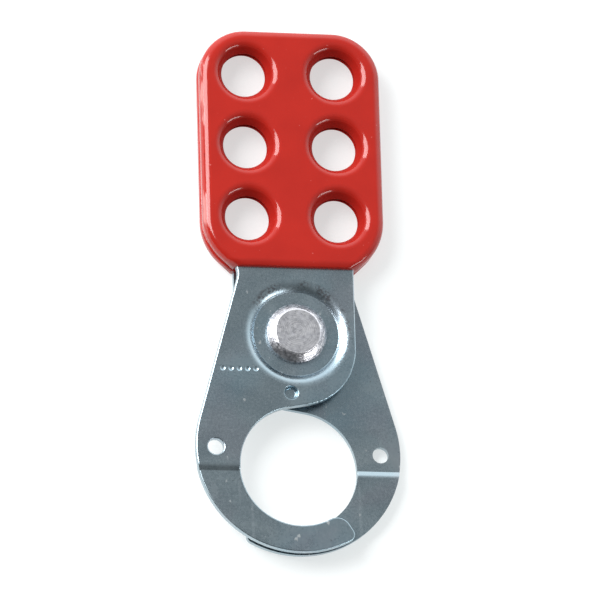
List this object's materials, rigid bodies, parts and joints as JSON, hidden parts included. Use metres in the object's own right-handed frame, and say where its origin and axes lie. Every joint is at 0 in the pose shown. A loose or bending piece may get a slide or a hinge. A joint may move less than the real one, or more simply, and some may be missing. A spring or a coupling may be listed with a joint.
{
  "type": "lockout hasp",
  "caption": "Scissor-action safety lockout hasp: stamped steel jaws on a rivet close to a round opening, and vinyl-dipped handles take padlock shackles in a grid of holes.",
  "frame": {"origin": "centre of the part's box in X and Y, on the surface that it lies on", "axes": "+Y toward the handle's top, +Z out of the front plate, +X to the right when seen from the front with the handle up"},
  "size_m": [0.044, 0.113, 0.0076],
  "materials": {
    "zinc_steel": "zinc-plated mild steel sheet, satin, slightly blue",
    "rivet_steel": "plated steel rivet, turned face, brighter than the sheet",
    "red_vinyl": "glossy dipped vinyl"
  },
  "bodies": {
    "rear_half": {"rear_plate": "zinc_steel", "rear_handle_coat": "red_vinyl", "pivot_rivet": "rivet_steel"},
    "front_half": {"front_plate": "zinc_steel", "front_handle_coat": "red_vinyl"}
  },
  "joints": [
    {"name": "jaw_pivot", "type": "hinge", "parent": "rear_half", "child": "front_half", "pos_m": [0, -0.0096, 0.00365], "axis": [0, 0, -1], "range_deg": [0, 60]}
  ]
}
